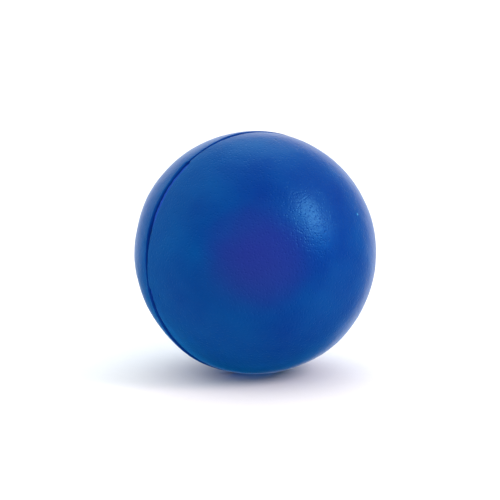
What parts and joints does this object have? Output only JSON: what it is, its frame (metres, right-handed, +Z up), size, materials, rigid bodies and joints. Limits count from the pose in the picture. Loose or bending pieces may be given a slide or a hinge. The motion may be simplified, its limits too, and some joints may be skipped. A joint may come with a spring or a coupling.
{
  "type": "stress ball",
  "caption": "Hand-sized squeezable foam ball: two coloured film half shells over dense foam skins and one soft core, joined at a fine recessed seam.",
  "frame": {"origin": "middle of the small flat the ball rests on, at desk level", "axes": "+Z up through the ball's centre; Y is the mould axis, with the front half film towards -Y; the seam lies in the XZ plane"},
  "size_m": [0.0634, 0.0636, 0.0632],
  "materials": {
    "film": "satin",
    "skin_foam": "matte",
    "core_foam": "matte"
  },
  "bodies": {
    "heart": {"foam_core": "core_foam", "seam_bead": "skin_foam"},
    "front_half": {"front_coat": "film", "front_skin": "skin_foam"},
    "rear_half": {"rear_coat": "film", "rear_skin": "skin_foam"}
  },
  "joints": [
    {"name": "front_press", "type": "slide", "parent": "heart", "child": "front_half", "axis": [0, 1, 0], "range_m": [0, 0.015], "stiffness_N_per_m": 3200, "deforming": ["front_coat", "front_skin", "foam_core", "seam_bead"]},
    {"name": "rear_press", "type": "slide", "parent": "heart", "child": "rear_half", "axis": [0, -1, 0], "range_m": [0, 0.015], "stiffness_N_per_m": 3200, "deforming": ["rear_coat", "rear_skin"]}
  ],
  "couplings": [
    {"joint": "rear_press", "follows": "front_press", "ratio": 1}
  ]
}
